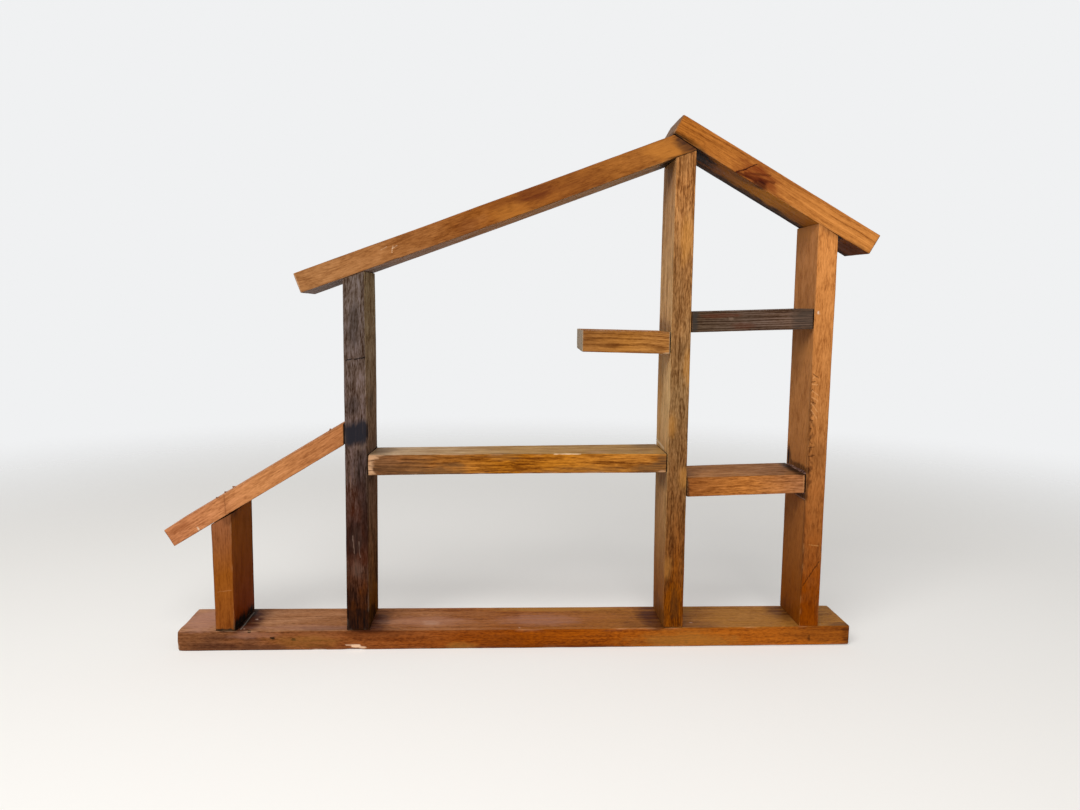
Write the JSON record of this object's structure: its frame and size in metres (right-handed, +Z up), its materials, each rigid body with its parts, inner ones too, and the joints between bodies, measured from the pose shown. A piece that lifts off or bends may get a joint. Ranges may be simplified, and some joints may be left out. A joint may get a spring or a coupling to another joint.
{
  "type": "wooden dollhouse",
  "caption": "Open-fronted wooden dollhouse frame of reclaimed boards: posts, sloping roofs, a lean-to and shelf floors nailed and glued on one long base board.",
  "frame": {"origin": "middle of the base board's underside", "axes": "+Z up, +X along the base board towards the tall end, +Y towards the back; the pictured front faces -Y"},
  "size_m": [0.6165, 0.053, 0.4657],
  "materials": {
    "amber_wood": "satin varnish",
    "golden_wood": "satin varnish",
    "red_brown_wood": "satin varnish",
    "dark_wood": "worn dark stain",
    "nail_steel": "dull, darkened",
    "black_adhesive": "cured adhesive"
  },
  "bodies": {
    "root": {"base_board": "red_brown_wood", "lean_to_post": "amber_wood", "left_post": "dark_wood", "centre_post": "golden_wood", "right_post": "amber_wood", "lean_to_roof": "amber_wood", "left_roof": "amber_wood", "right_roof": "amber_wood", "main_floor": "golden_wood", "stub_shelf": "golden_wood", "upper_right_shelf": "dark_wood", "lower_right_shelf": "red_brown_wood", "base_nails": "nail_steel", "left_roof_nails": "nail_steel", "right_roof_nails": "nail_steel", "ridge_nails": "nail_steel", "lean_to_roof_nails": "nail_steel", "main_floor_nails": "nail_steel", "stub_shelf_nails": "nail_steel", "upper_shelf_nails": "nail_steel", "lower_shelf_nails": "nail_steel", "main_floor_glue": "black_adhesive", "stub_shelf_glue": "black_adhesive", "upper_shelf_glue": "black_adhesive", "lower_shelf_glue": "black_adhesive", "ridge_glue": "black_adhesive", "lean_to_roof_glue": "black_adhesive", "lean_to_foot_bead": "black_adhesive", "lower_shelf_beads": "black_adhesive"}
  },
  "joints": []
}
